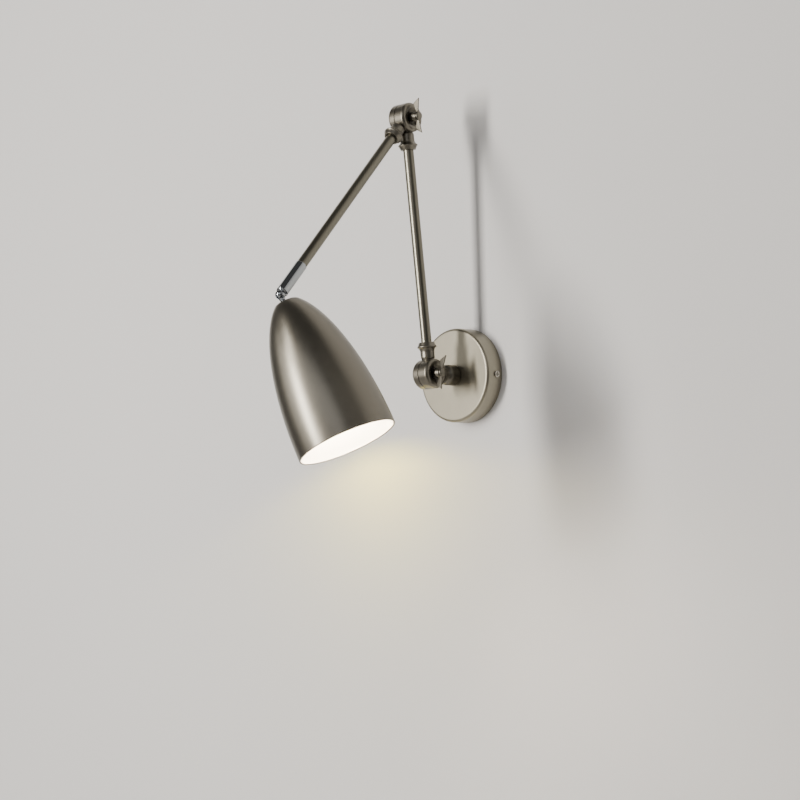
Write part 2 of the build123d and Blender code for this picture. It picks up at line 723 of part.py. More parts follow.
# ---------------------------------------------------------------- lampholder and bulb
shell_outer_radius = bulb_cap_diameter / 2 + hole_gap + holder_shell_wall
bore_floor = holder_mouth - holder_bore_depth
cap_gap = 1.5                   # between the lampholder's mouth and the bulb's shoulder
bulb_neck_start = holder_mouth + cap_gap
cap_start = bulb_neck_start - bulb_cap_length
bulb_body_end = bulb_neck_start + bulb_body_length


def holder_cap():
    """The lampholder's domed cap, screwed to the end of the stem."""
    cap = rod(holder_cap_diameter / 2, holder_cap_start, holder_start)
    cap = fillet(cap.edges().group_by(Axis.Z)[0], 2.5)
    return cap - rod(stem_thread_diameter / 2, 0, holder_start + 1)


def holder_body():
    """The moulded lampholder body: a ribbed barrel, bored for its threaded shell."""
    body = rod(holder_diameter / 2 - holder_rib_height, holder_start, holder_mouth)
    rib_length = holder_length * 0.6
    rib = rod(holder_rib_height, holder_start + holder_length * 0.1,
              holder_start + holder_length * 0.1 + rib_length)
    place = PolarLocations(holder_diameter / 2 - holder_rib_height, holder_rib_count)
    body += [spot * rib for spot in place]
    body -= rod(shell_outer_radius, bore_floor, holder_mouth + 1)
    return body - rod(stem_thread_diameter / 4, 0, holder_mouth)


def contact():
    """The springy centre contact at the bottom of the lampholder."""
    disc = rod(contact_radius, bore_floor, bore_floor + contact_thickness)
    dome_top = cap_start - bulb_tip_height
    return disc + rod(contact_radius / 2, bore_floor, dome_top)


def bulb_cap():
    """The bulb's screw cap with its insulated tip."""
    cap = rod(bulb_cap_diameter / 2, cap_start, bulb_neck_start)
    tip = Pos(0, 0, cap_start) * Cone(bulb_cap_diameter / 6, bulb_cap_diameter / 3,
                                      bulb_tip_height,
                                      align=(Align.CENTER, Align.CENTER, Align.MAX))
    return cap + tip


def bulb_body():
    """The bulb's moulded body: it swells from the cap to the edge of the globe."""
    low = (bulb_neck_diameter / 2, bulb_neck_start)
    high = (bulb_body_diameter / 2, bulb_body_end)
    return turned(Polyline((0, bulb_body_end), (0, bulb_neck_start), low),
                  Spline(low, high, tangents=[(0.4, 1), (0.25, 1)]),
                  Line(high, (0, bulb_body_end)))


def bulb_globe():
    """The opal globe that stands on the bulb's body."""
    outer = bulb_globe_diameter / 2
    centre = bulb_body_end + (outer ** 2 - (bulb_body_diameter / 2) ** 2) ** 0.5
    globe = Pos(0, 0, centre) * (Sphere(outer) - Sphere(outer - bulb_shell))
    return split(globe, Plane((0, 0, bulb_body_end)), keep=Keep.TOP)


add("lampholder_cap", holder_cap(), shade_frame)
add("lampholder_body", holder_body(), shade_frame)
add("lampholder_shell", ring(shell_outer_radius, shell_outer_radius - holder_shell_wall,
                             holder_mouth - cap_gap - holder_shell_length,
                             holder_mouth - cap_gap), shade_frame)
add("lampholder_contact", contact(), shade_frame)
add("bulb_cap", bulb_cap(), shade_frame)
add("bulb_body", bulb_body(), shade_frame)
add("bulb_globe", bulb_globe(), shade_frame)

# ---------------------------------------------------------------- files
os.makedirs("parts", exist_ok=True)
for name, shape in parts.items():
    export_step(shape, f"parts/{name}.step")
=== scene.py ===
import json
import math

import bmesh
import bpy
import numpy as np
from mathutils import Matrix, Vector


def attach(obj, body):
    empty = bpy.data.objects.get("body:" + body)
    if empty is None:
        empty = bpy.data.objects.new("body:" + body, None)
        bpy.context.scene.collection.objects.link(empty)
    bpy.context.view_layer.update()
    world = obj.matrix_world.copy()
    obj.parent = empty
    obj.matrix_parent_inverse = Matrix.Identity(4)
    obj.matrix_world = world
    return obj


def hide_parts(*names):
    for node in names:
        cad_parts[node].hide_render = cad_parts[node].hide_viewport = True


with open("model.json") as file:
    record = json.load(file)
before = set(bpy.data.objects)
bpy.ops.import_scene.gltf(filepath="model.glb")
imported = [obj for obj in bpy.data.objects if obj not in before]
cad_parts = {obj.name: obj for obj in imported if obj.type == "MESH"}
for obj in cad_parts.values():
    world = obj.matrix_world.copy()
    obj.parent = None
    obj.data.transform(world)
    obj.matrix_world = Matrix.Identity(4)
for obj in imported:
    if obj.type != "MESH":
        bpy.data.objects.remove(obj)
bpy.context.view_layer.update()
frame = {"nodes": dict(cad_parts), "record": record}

# ---------------------------------------------------------------- camera
# The photograph is taken from the right of the lamp with a long lens, a little below the hinges.
# Its place and lens were fitted to the plate, the arms, the elbow and the shade.
AZIMUTH = math.radians(45.6)
ELEVATION = math.radians(-2.57)
DISTANCE = 2.6
AIM_RIGHT = -0.07275            # how far the picture's centre lies from the wall plate's centre
AIM_UP = -0.02549
SENSOR_WIDTH = 36.0             # millimetres
FOCAL_LENGTH = 2430.2           # pixels of a picture of this width
PICTURE_WIDTH = 800.0


def aim(thing, place, direction):
    """Put a camera or light at a place, looking along a direction, with +Z up in its view."""
    thing.rotation_mode = "QUATERNION"
    thing.location = place
    thing.rotation_quaternion = Vector(direction).to_track_quat("-Z", "Y")


back = Vector((math.sin(AZIMUTH) * math.cos(ELEVATION),
               -math.cos(AZIMUTH) * math.cos(ELEVATION),
               math.sin(ELEVATION)))
right = Vector((math.cos(AZIMUTH), math.sin(AZIMUTH), 0.0))
target = right * AIM_RIGHT + back.cross(right) * AIM_UP
camera = bpy.data.objects.new("camera", bpy.data.cameras.new("camera"))
bpy.context.scene.collection.objects.link(camera)
aim(camera, target + back * DISTANCE, -back)
camera.data.lens = SENSOR_WIDTH * FOCAL_LENGTH / PICTURE_WIDTH
camera.data.sensor_width = SENSOR_WIDTH
bpy.context.scene.camera = camera

# ---------------------------------------------------------------- wall and floor
# A plain plastered wall carries the lamp and a plain pale floor lies far below it, both painted
# matt. The wall shows from the room only, so that the lamp can be seen from behind, and it has an
# opening behind the plate, so that light reaches the plate's inside.
MM = 0.001
WALL_COLOUR = "#e1e0de"
FLOOR_COLOUR = "#c9c7c4"
WALL_WIDTH = 8.0
WALL_HEIGHT = 4.0
FLOOR_LEVEL = -1.3
FLOOR_DEPTH = 6.0
WALL_OPENING = 0.046            # radius behind the plate
WALL_BEHIND = 0.0003            # the gap that keeps the plate's edge from sinking into the paint
ROLLER_GRAIN_MM = 2.5
ROLLER_DEPTH_MM = 0.2
ROLLER_BUMP = 0.1
PAINT_CLOUD_MM = 500.0
PAINT_ROUGHNESS = 0.8
PAINT_IOR = 1.45


def linear(hex_colour):
    """An sRGB hex colour as linear RGBA."""
    values = [int(hex_colour[i:i + 2], 16) / 255 for i in (1, 3, 5)]
    return [v / 12.92 if v <= 0.04045 else ((v + 0.055) / 1.055) ** 2.4 for v in values] + [1.0]


def node(tree, kind, settings=None, **links):
    """Add a node: settings go to its properties and sockets, links join its input sockets.

    In a link's name a double underscore stands for a space, and i and a number for a socket
    that shares its name with others. In the settings such a socket goes by its number.
    """
    made = tree.nodes.new(kind)
    for key, value in (settings or {}).items():
        if isinstance(key, str) and hasattr(made, key):
            setattr(made, key, value)
        else:
            made.inputs[key].default_value = value
    for key, source in links.items():
        socket = int(key[1:]) if key[0] == "i" and key[1:].isdigit() else key.replace("__", " ")
        tree.links.new(source, made.inputs[socket])
    return made


def noise(tree, size_mm, detail, where, distortion=0.0):
    """Noise from 0 to 1 whose grain has a size in millimetres."""
    settings = {"Scale": 1000 / size_mm, "Detail": detail, "Distortion": distortion}
    return node(tree, "ShaderNodeTexNoise", settings, Vector=where).outputs["Fac"]


def between(tree, low, high, pattern):
    """A pattern from 0 to 1, spread from low to high."""
    return node(tree, "ShaderNodeMapRange", {"To Min": low, "To Max": high},
                Value=pattern).outputs["Result"]


def wavering(tree, colour, low, high, pattern):
    """A colour whose brightness follows a pattern between two shares of itself."""
    return node(tree, "ShaderNodeHueSaturation", {"Color": linear(colour)},
                Value=between(tree, low, high, pattern)).outputs["Color"]


def embossed(tree, strength, depth_mm, pattern, **links):
    """The surface's normals, bent by a pattern that is so many millimetres deep."""
    return node(tree, "ShaderNodeBump", {"Strength": strength, "Distance": depth_mm * MM},
                Height=pattern, **links).outputs["Normal"]


def new_material(name):
    """A new material with only an output node: the material, its tree and its surface socket."""
    made = bpy.data.materials.new(name)
    made.use_nodes = True
    made.node_tree.nodes.clear()
    output = made.node_tree.nodes.new("ShaderNodeOutputMaterial")
    return made, made.node_tree, output.inputs["Surface"]


def mesh_piece(name, points, normals, rows_close=False, columns_close=False):
    """A smooth mesh from a grid of points of shape (rows, columns, 3), one quad for each cell.

    Points that coincide, as at a pole, become one, and their cells become triangles. A face's
    outside is the side from which rows x columns turns anticlockwise. Normals may be None.
    """
    rows, columns = points.shape[:2]
    index = np.arange(rows * columns).reshape(rows, columns)
    if rows_close:
        index = np.vstack([index, index[:1]])
    if columns_close:
        index = np.hstack([index, index[:, :1]])
    quads = np.stack([index[:-1, :-1], index[1:, :-1], index[1:, 1:], index[:-1, 1:]], -1)
    flat = points.reshape(-1, 3)
    _, first, merged = np.unique(np.round(flat * 1e7), axis=0, return_index=True,
                                 return_inverse=True)
    quads = merged.reshape(-1)[quads.reshape(-1, 4)]
    same_start = quads[:, 0] == quads[:, 3]
    same_end = quads[:, 1] == quads[:, 2]
    whole = quads[~same_start & ~same_end]
    start_tips = quads[same_start & ~same_end][:, :3]
    end_tips = quads[same_end & ~same_start][:, [0, 1, 3]]
    mesh = bpy.data.meshes.new(name)
    mesh.from_pydata(flat[first], [], whole.tolist() + start_tips.tolist() + end_tips.tolist())
    mesh.polygons.foreach_set("use_smooth", [True] * len(mesh.polygons))
    if normals is not None:
        mesh.normals_split_custom_set_from_vertices(normals.reshape(-1, 3)[first])
    made = bpy.data.objects.new(name, mesh)
    bpy.context.scene.collection.objects.link(made)
    return made


def matt_paint(name, colour, one_sided):
    """Rolled emulsion paint: a matt coat with the roller's faint orange-peel grain."""
    made, tree, surface = new_material(name)
    place = node(tree, "ShaderNodeTexCoord").outputs["Object"]
    grain = noise(tree, ROLLER_GRAIN_MM, 3.0, place)
    cloud = noise(tree, PAINT_CLOUD_MM, 2.0, place)
    paint = node(tree, "ShaderNodeBsdfPrincipled",
                 {"Roughness": PAINT_ROUGHNESS, "IOR": PAINT_IOR},
                 Base__Color=wavering(tree, colour, 0.97, 1.03, cloud),
                 Normal=embossed(tree, ROLLER_BUMP, ROLLER_DEPTH_MM, grain)).outputs["BSDF"]
    if one_sided:
        behind = node(tree, "ShaderNodeNewGeometry").outputs["Backfacing"]
        reach = node(tree, "ShaderNodeVectorMath", {"operation": "LENGTH"}, i0=place)
        opening = node(tree, "ShaderNodeMath", {"operation": "LESS_THAN", 1: WALL_OPENING},
                       i0=reach.outputs["Value"])
        unseen = node(tree, "ShaderNodeMath", {"operation": "MAXIMUM"}, i0=behind,
                      i1=opening.outputs["Value"])
        clear = node(tree, "ShaderNodeBsdfTransparent").outputs["BSDF"]
        paint = node(tree, "ShaderNodeMixShader", None, Fac=unseen.outputs["Value"], i1=paint,
                     i2=clear).outputs["Shader"]
    tree.links.new(paint, surface)
    return made


def flat_sheet(name, corner, along, across):
    """A flat sheet: each point is corner + s * along + t * across, with s and t from 0 to 1."""
    s, t = np.meshgrid([0.0, 1.0], [0.0, 1.0], indexing="ij")
    points = np.array(corner) + s[..., None] * np.array(along) + t[..., None] * np.array(across)
    return mesh_piece(name, points, None)


wall_foot = (-WALL_WIDTH / 2, WALL_BEHIND, FLOOR_LEVEL)
wall = flat_sheet("wall", wall_foot, (WALL_WIDTH, 0.0, 0.0), (0.0, 0.0, WALL_HEIGHT))
wall.data.materials.append(matt_paint("matt_wall_paint", WALL_COLOUR, True))
floor = flat_sheet("floor", wall_foot, (0.0, -FLOOR_DEPTH, 0.0), (WALL_WIDTH, 0.0, 0.0))
floor.data.materials.append(matt_paint("matt_floor_paint", FLOOR_COLOUR, False))

# ---------------------------------------------------------------- studio light
# A tall softbox at the left draws the bright band on the shade and the lamp's shadow on the wall.
# Wide, dim ones at the left, front and right lift the wall and the metal, and the room around
# them stays dark, so that the metal has contrast.
SPILL_PLACE = (-0.14, -0.09, -0.058)
SPILL_DIRECTION = (0.12, 0.0, -0.99)
SPILL_ANGLE = math.radians(160)
SPILL_BLEND = 0.2
SPILL_RADIUS = 0.02
SPILL_POWER = 1.2
SPILL_COLOUR = "#ffe550"
ROOM_COLOUR = "#8c8a88"
ROOM_STRENGTH = 0.36


def softbox(name, place, look_at, width, height, power, colour):
    """A rectangular softbox at a place, turned to the point that it lights."""
    data = bpy.data.lights.new(name, "AREA")
    data.shape = "RECTANGLE"
    data.size = width
    data.size_y = height
    data.energy = power
    data.color = linear(colour)[:3]
    made = bpy.data.objects.new(name, data)
    bpy.context.scene.collection.objects.link(made)
    aim(made, place, Vector(look_at) - Vector(place))


softbox("key_strip", (-0.78, -2.3, 0.12), (0.0, 0.0, 0.1), 0.32, 1.0, 58.0, "#fffaf4")
softbox("key_top", (-0.78, -2.25, 1.05), (0.0, 0.0, 0.1), 0.4, 0.8, 16.0, "#fffaf4")
softbox("left_fill", (-2.1, -2.0, 0.1), (0.0, 0.0, 0.0), 0.8, 1.6, 8.0, "#fffcf8")
softbox("front_fill", (1.0, -2.75, 1.1), (0.0, 0.0, 0.0), 2.4, 1.5, 13.0, "#fbfbff")
softbox("right_fill", (2.3, -1.0, 1.7), (0.0, 0.0, 0.0), 1.6, 1.6, 2.5, "#fffaf2")
softbox("floor_light", (0.0, -2.6, -0.45), (0.0, -2.6, -1.3), 2.4, 1.6, 7.0, "#fbfbff")

# The lit bulb alone doesn't draw the warm pool of light under the lamp, so a wide spot close to the
# wall does. It is set for the pose shown and stays there when the head moves.
spill = bpy.data.lights.new("warm_spill", "SPOT")
spill.spot_size = SPILL_ANGLE
spill.spot_blend = SPILL_BLEND
spill.shadow_soft_size = SPILL_RADIUS
spill.energy = SPILL_POWER
spill.color = linear(SPILL_COLOUR)[:3]
spill_lamp = bpy.data.objects.new("warm_spill", spill)
bpy.context.scene.collection.objects.link(spill_lamp)
aim(spill_lamp, SPILL_PLACE, SPILL_DIRECTION)

world = bpy.data.worlds.new("dark_studio")
bpy.context.scene.world = world
world.use_nodes = True
world.node_tree.nodes.clear()
room = node(world.node_tree, "ShaderNodeBackground",
            {"Color": linear(ROOM_COLOUR), "Strength": ROOM_STRENGTH})
world_out = world.node_tree.nodes.new("ShaderNodeOutputWorld")
world.node_tree.links.new(room.outputs["Background"], world_out.inputs["Surface"])

# ---------------------------------------------------------------- wall plate
# Taken as a cup pressed from sheet steel, brushed while it turns and plated with satin nickel. Its
# front edge is rounded. The narrow foot on the wall is a guess, as the back isn't seen.
PLATE_RADIUS = 50.0
PLATE_DEPTH = 22.0
PLATE_WALL = 1.4
PLATE_EDGE = 3.2
PLATE_FOOT = 2.6
PLATE_FOOT_THICKNESS = 1.2
PLATE_FOOT_FILLET = 0.3
PLATE_FOOT_EDGE = 0.2
PLATE_BACK_EDGE = 0.4
STUB_HOLE = 5.05
STUB_HOLE_EDGE = 0.15
NICKEL = "#78746a"              # fitted to the photograph under these lights, not measured
# The plate's and the screws' nickel below are painted light: the same finish, coloured lighter to
# stand in for the light they catch.
PLATE_NICKEL_PAINTED_LIGHT = "#979283"        # one finish in life; lighter here only to match the photograph
SCREW_NICKEL_PAINTED_LIGHT = "#b5b1a6"        # and lighter still, for the same reason
SATIN = 0.36                    # blurs a softbox to a broad band
EDGE_MM = 0.4                   # how far the blasting and polishing round the sharp edges
STROKE_MM = 0.35                # brush marks are nearer 0.1 mm; drawn coarser so that they show
STROKE_DEPTH_MM = 0.02
STROKE_BUMP = 0.35
STROKE_STRETCH = 50             # a long stroke's length over its width
PATCH_MM = 9.0
PATCH_GLOSS = 0.035             # how far the roughness wavers from patch to patch
PATCH_TONE = 0.05

wall_place = Matrix.Rotation(math.radians(90), 4, "X")
body_with = {member: body for body, members in frame["record"]["behaviour"]["bodies"].items()
             for member in members}


def local_place(tree, place):
    """Object coordinates turned and moved to a piece's own frame, whose Z is its axis."""
    return node(tree, "ShaderNodeMapping",
                {"vector_type": "TEXTURE", "Location": place.to_translation(),
                 "Rotation": place.to_euler()},
                Vector=node(tree, "ShaderNodeTexCoord").outputs["Object"]).outputs["Vector"]


def satin_nickel(name, place, brushed="round", roughness=SATIN, colour=NICKEL):
    """Satin nickel plate over brushed or blasted metal.

    round: fine rings about the piece's axis, left by a pad while it turns. long: fine lines
    along the axis, left by a belt. cast: the even grain of a blasted casting.
    """
    made, tree, surface = new_material(name)
    own = local_place(tree, place)
    parts = node(tree, "ShaderNodeSeparateXYZ", None, Vector=own)
    x, y, z = (parts.outputs[axis] for axis in "XYZ")
    if brushed == "round":
        flat = node(tree, "ShaderNodeCombineXYZ", None, X=x, Y=y).outputs["Vector"]
        radius = node(tree, "ShaderNodeVectorMath", {"operation": "LENGTH"}, i0=flat)
        lines = node(tree, "ShaderNodeCombineXYZ", None, X=radius.outputs["Value"], Z=z)
    else:
        lines = node(tree, "ShaderNodeCombineXYZ", None, X=x, Y=y, Z=z)
    shrink = (1.0, 1.0, 1 / STROKE_STRETCH if brushed == "long" else 1.0)
    stretched = node(tree, "ShaderNodeVectorMath", {"operation": "MULTIPLY", 1: shrink},
                     i0=lines.outputs["Vector"])
    strokes = noise(tree, STROKE_MM, 2.0, stretched.outputs["Vector"])
    patches = noise(tree, PATCH_MM, 3.0, own)
    edges = node(tree, "ShaderNodeBevel", {"Radius": EDGE_MM * MM, "samples": 6})
    metal = node(tree, "ShaderNodeBsdfPrincipled", {"Metallic": 1.0},
                 Base__Color=wavering(tree, colour, 1 - PATCH_TONE, 1 + PATCH_TONE, patches),
                 Roughness=between(tree, roughness - PATCH_GLOSS, roughness + PATCH_GLOSS,
                                   patches),
                 Normal=embossed(tree, STROKE_BUMP, STROKE_DEPTH_MM, strokes,
                                 Normal=edges.outputs["Normal"]))
    tree.links.new(metal.outputs["BSDF"], surface)
    return made


def rounded(corners, steps=6):
    """A profile of (radius, height, rounding) corners in millimetres, each one turned to an arc.

    An arc is the rational curve ((1-t)^2 A + 2wt(1-t) P + t^2 B) / ((1-t)^2 + 2wt(1-t) + t^2)
    with P the corner, A and B where the arc meets the straights, and w the cosine of half the
    turn, which is a true circle.
    """
    pieces = [np.array([corners[0][:2]])]
    t = np.linspace(0, 1, steps)[:, None]
    for before, corner, after in zip(corners, corners[1:], corners[2:]):
        point = np.array(corner[:2])
        to_before = np.array(before[:2]) - point
        to_after = np.array(after[:2]) - point
        to_before = to_before / np.linalg.norm(to_before)
        to_after = to_after / np.linalg.norm(to_after)
        half_turn = (math.pi - math.acos(np.clip(to_before @ to_after, -1, 1))) / 2
        reach = corner[2] * math.tan(half_turn)
        start = point + to_before * reach
        end = point + to_after * reach
        weight = math.cos(half_turn)
        share = (1 - t) ** 2 + 2 * weight * t * (1 - t) + t ** 2
        pieces.append(((1 - t) ** 2 * start + 2 * weight * t * (1 - t) * point + t ** 2 * end)
                      / share)
    pieces.append(np.array([corners[-1][:2]]))
    return np.vstack(pieces)


def lathe(name, place, profile, around=128):
    """Carry a profile of (radius, height) points in millimetres once round a frame's Z axis.

    Each point becomes (radius cos a, -radius sin a, height) for angle a, so a profile that
    rises has its outside away from the axis. A normal stands square to the profile; where a
    straight meets an arc, it follows the longer of the two.
    """
    run = np.diff(profile, axis=0)
    length = np.linalg.norm(run, axis=1)
    square = np.stack([run[:, 1], -run[:, 0]], 1) * length[:, None]
    tilt = np.vstack([square[:1], square[:-1] + square[1:], square[-1:]])
    tilt = tilt / np.maximum(np.linalg.norm(tilt, axis=1), 1e-12)[:, None]
    tilt[profile[:, 0] == 0, 0] = 0
    angle = np.linspace(0, 2 * np.pi, around, endpoint=False)
    turn = np.array(place.to_3x3())

    def swept(radial, axial):
        ring = np.stack([radial[:, None] * np.cos(angle), -radial[:, None] * np.sin(angle),
                         np.repeat(axial[:, None], around, 1)], -1)
        return ring @ turn.T

    points = swept(profile[:, 0] * MM, profile[:, 1] * MM) + np.array(place.to_translation())
    return mesh_piece(name, points, swept(tilt[:, 0], tilt[:, 1]), columns_close=True)


def stands_for(piece, *members):
    """A made piece joins the body of its CAD nodes, which are hidden in its place."""
    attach(piece, body_with[members[0]])
    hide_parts(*members)
    return piece


def dressed(name, finish, sharp=28):
    """A CAD node's own mesh with doubles merged, smooth but for edges sharper than an angle."""
    work = bmesh.new()
    work.from_mesh(frame["nodes"][name].data)
    bmesh.ops.remove_doubles(work, verts=work.verts, dist=1e-6)
    mesh = bpy.data.meshes.new(name + "_skin")
    work.to_mesh(mesh)
    work.free()
    mesh.polygons.foreach_set("use_smooth", [True] * len(mesh.polygons))
    mesh.set_sharp_from_angle(angle=math.radians(sharp))
    made = bpy.data.objects.new(name + "_skin", mesh)
    bpy.context.scene.collection.objects.link(made)
    mesh.materials.append(finish)
    flats = made.modifiers.new("flats_stay_flat", "WEIGHTED_NORMAL")
    flats.keep_sharp = True
    stands_for(made, name)


plate_inner = PLATE_RADIUS - PLATE_WALL
plate_profile = rounded([
    (STUB_HOLE, PLATE_DEPTH - PLATE_WALL, 0.0),
    (plate_inner, PLATE_DEPTH - PLATE_WALL, PLATE_EDGE),
    (plate_inner, PLATE_FOOT_THICKNESS, PLATE_FOOT_FILLET),
    (plate_inner - PLATE_FOOT, PLATE_FOOT_THICKNESS, PLATE_FOOT_EDGE),
    (plate_inner - PLATE_FOOT, 0.0, PLATE_FOOT_EDGE),
    (PLATE_RADIUS, 0.0, PLATE_BACK_EDGE),
    (PLATE_RADIUS, PLATE_DEPTH, PLATE_EDGE),
    (STUB_HOLE, PLATE_DEPTH, STUB_HOLE_EDGE),
    (STUB_HOLE, PLATE_DEPTH - PLATE_WALL, 0.0)], 10)
plate = stands_for(lathe("wall_plate_shell", wall_place, plate_profile, 192), "wall_plate")
# The plate and its side screws take the lighter copies of the nickel, which are painted light.
plate.data.materials.append(
    satin_nickel("satin_nickel_spun_plate_painted_light", wall_place, "round", roughness=0.42,
                 colour=PLATE_NICKEL_PAINTED_LIGHT))
dressed("plate_side_screws",
        satin_nickel("satin_nickel_screws_painted_light", wall_place, "cast", roughness=0.25,
                     colour=SCREW_NICKEL_PAINTED_LIGHT))

# ---------------------------------------------------------------- wall bracket and terminals
# Behind the plate a bent strip of zinc-plated steel is screwed to the wall box. It carries a brass
# earth screw with its cup washer and a moulded nylon block with three wire clamps.
SCRATCH_MM = 0.4
SCRATCH_DEPTH_MM = 0.02
SCRATCH_BUMP = 0.25
CLOUD_MM = 14.0
MOULD_GLOSS = 0.05              # how far a moulding's roughness wavers with its grain
MOULD_BUMP = 0.4
PLASTIC_IOR = 1.5


def bare_metal(name, colour, roughness, blotch_mm, warm="#ffffff", warmth=0.0):
    """Plated or turned metal: blotches of slightly different tone and gloss, and fine scratches.

    warm and warmth tint some blotches, as the passivation of zinc plate does.
    """
    made, tree, surface = new_material(name)
    place = node(tree, "ShaderNodeTexCoord").outputs["Object"]
    blotch = noise(tree, blotch_mm, 4.0, place)
    scratch = noise(tree, SCRATCH_MM, 2.0, place, distortion=1.5)
    amount = node(tree, "ShaderNodeMapRange",
                  {"From Min": 0.4, "From Max": 0.7, "To Max": warmth}, Value=blotch)
    tint = node(tree, "ShaderNodeMix",
                {"data_type": "RGBA", 6: linear(colour), 7: linear(warm)},
                i0=amount.outputs["Result"])
    metal = node(tree, "ShaderNodeBsdfPrincipled", {"Metallic": 1.0},
                 Base__Color=tint.outputs[2],
                 Roughness=between(tree, roughness * 0.75, roughness * 1.3, blotch),
                 Normal=embossed(tree, SCRATCH_BUMP, SCRATCH_DEPTH_MM, scratch))
    tree.links.new(metal.outputs["BSDF"], surface)
    return made


def moulding(name, colour, roughness, grain_mm, depth_mm):
    """A moulded or coated surface: an even colour, faint clouds and a fine spark-eroded grain."""
    made, tree, surface = new_material(name)
    place = node(tree, "ShaderNodeTexCoord").outputs["Object"]
    grain = noise(tree, grain_mm, 2.0, place)
    cloud = noise(tree, CLOUD_MM, 2.0, place)
    plastic = node(tree, "ShaderNodeBsdfPrincipled", {"IOR": PLASTIC_IOR},
                   Base__Color=wavering(tree, colour, 0.96, 1.03, cloud),
                   Roughness=between(tree, roughness - MOULD_GLOSS, roughness + MOULD_GLOSS,
                                     grain),
                   Normal=embossed(tree, MOULD_BUMP, depth_mm, grain))
    tree.links.new(plastic.outputs["BSDF"], surface)
    return made


zinc = bare_metal("zinc_plated_steel", "#b9bcc0", roughness=0.34, blotch_mm=6.0,
                  warm="#c3bda4", warmth=0.6)
brass = bare_metal("turned_brass", "#c9a45c", roughness=0.3, blotch_mm=4.0,
                   warm="#b08a45", warmth=0.5)
nylon = moulding("moulded_white_nylon", "#e6e4dc", roughness=0.5, grain_mm=0.5, depth_mm=0.02)
dressed("wall_bracket", zinc)
dressed("earth_screw", brass)
dressed("earth_washer", brass)
dressed("terminal_block", nylon)
dressed("terminal_screws", zinc)

# ---------------------------------------------------------------- stub
# A zinc casting, blasted and satin plated: a round boss that turns on the plate, swelling into the
# plain half of the lower hinge. A threaded tube, washers and a nut hold it from inside the plate.
HINGE_FROM_WALL = 58.3
SWIVEL_LEAN = -3.5              # degrees, the lean of the arms about the wall's normal
NIPPLE_RADIUS = 5.0
NIPPLE_BORE = 3.5
NIPPLE_START = 27.2
NIPPLE_END = 45.4
NIPPLE_PITCH = 1.0
NIPPLE_CUT = 0.55               # depth of the thread
THREAD_AROUND = 48              # points in a turn of a thread
THREAD_ALONG = 6                # points in its pitch


def shifted(place, along=0.0, axis="X", degrees=0.0, out=0.0):
    """A frame moved along its Z (and out along its Y) in millimetres, then turned."""
    return (place @ Matrix.Translation(Vector((0.0, out * MM, along * MM)))
            @ Matrix.Rotation(math.radians(degrees), 4, axis))


def threaded_tube(name, place, radius, bore, start, end, pitch, cut):
    """A tube whose outside is a screw thread.

    Each point is (radius cos a, -radius sin a, z), and the outside radius is the tube's less
    the cut times the distance of z / pitch + a / full turn from the nearest whole number,
    doubled: a ridge that climbs one pitch with each turn. Both ends fade to the thread's root.
    """
    height = np.arange(start, end, pitch / THREAD_ALONG)
    angle = np.linspace(0, 2 * np.pi, THREAD_AROUND, endpoint=False)
    z, a = np.meshgrid(height, angle, indexing="ij")
    phase = z / pitch + a / (2 * np.pi)
    groove = 2 * np.abs(phase - np.round(phase))
    fade = np.clip(np.minimum(z - start, end - z) / pitch, 0, 1)
    outside = radius - cut + cut * (1 - groove) * fade
    ends = np.array([height[-1], height[0]])
    inside = np.full((2, THREAD_AROUND), bore)
    radial = np.vstack([outside, inside]) * MM
    axial = np.vstack([z, np.repeat(ends[:, None], THREAD_AROUND, 1)]) * MM
    sweep = np.vstack([a, a[:2]])
    points = np.stack([radial * np.cos(sweep), -radial * np.sin(sweep), axial], -1)
    points = points @ np.array(place.to_3x3()).T + np.array(place.to_translation())
    made = mesh_piece(name, points, None, rows_close=True, columns_close=True)
    made.data.set_sharp_from_angle(angle=math.radians(50))
    return made


swivel_place = Matrix.Rotation(math.radians(SWIVEL_LEAN), 4, "Y")
stub_place = shifted(swivel_place, 0.0, "X", -90, -HINGE_FROM_WALL)
fibre = moulding("black_vulcanised_fibre", "#161514", roughness=0.7, grain_mm=0.8, depth_mm=0.05)
dressed("stub_knuckle", satin_nickel("satin_nickel_cast_stub", stub_place, "cast"))
nipple = threaded_tube("stub_nipple_thread", stub_place, NIPPLE_RADIUS, NIPPLE_BORE, NIPPLE_START,
                       NIPPLE_END, NIPPLE_PITCH, NIPPLE_CUT)
nipple.data.materials.append(zinc)
stands_for(nipple, "stub_nipple")
dressed("stub_slip_washer", fibre)
dressed("stub_spring_washer", zinc)
dressed("stub_nut", zinc)

# ---------------------------------------------------------------- hinge clamps
# Each hinge is clamped by a mushroom-head bolt through a fibre friction disc, two dark steel
# washers in the recess and a cast wing nut, satin plated like the hinge.
dark_steel = bare_metal("oiled_dark_steel", "#5d5a55", roughness=0.42, blotch_mm=3.0,
                        warm="#3f3c38", warmth=0.8)


def clamp(prefix, place):
    """Dress the bolt, disc, washers and wing nut of one hinge."""
    cast = satin_nickel("satin_nickel_cast_" + prefix + "_clamp", place, "cast",
                        roughness=0.38)
    dressed(prefix + "_pivot_bolt", cast)
    dressed(prefix + "_friction_disc", fibre)
    dressed(prefix + "_flat_washer", dark_steel)
    dressed(prefix + "_spring_washer", dark_steel)
    dressed(prefix + "_wing_nut", cast)


clamp("lower", stub_place)

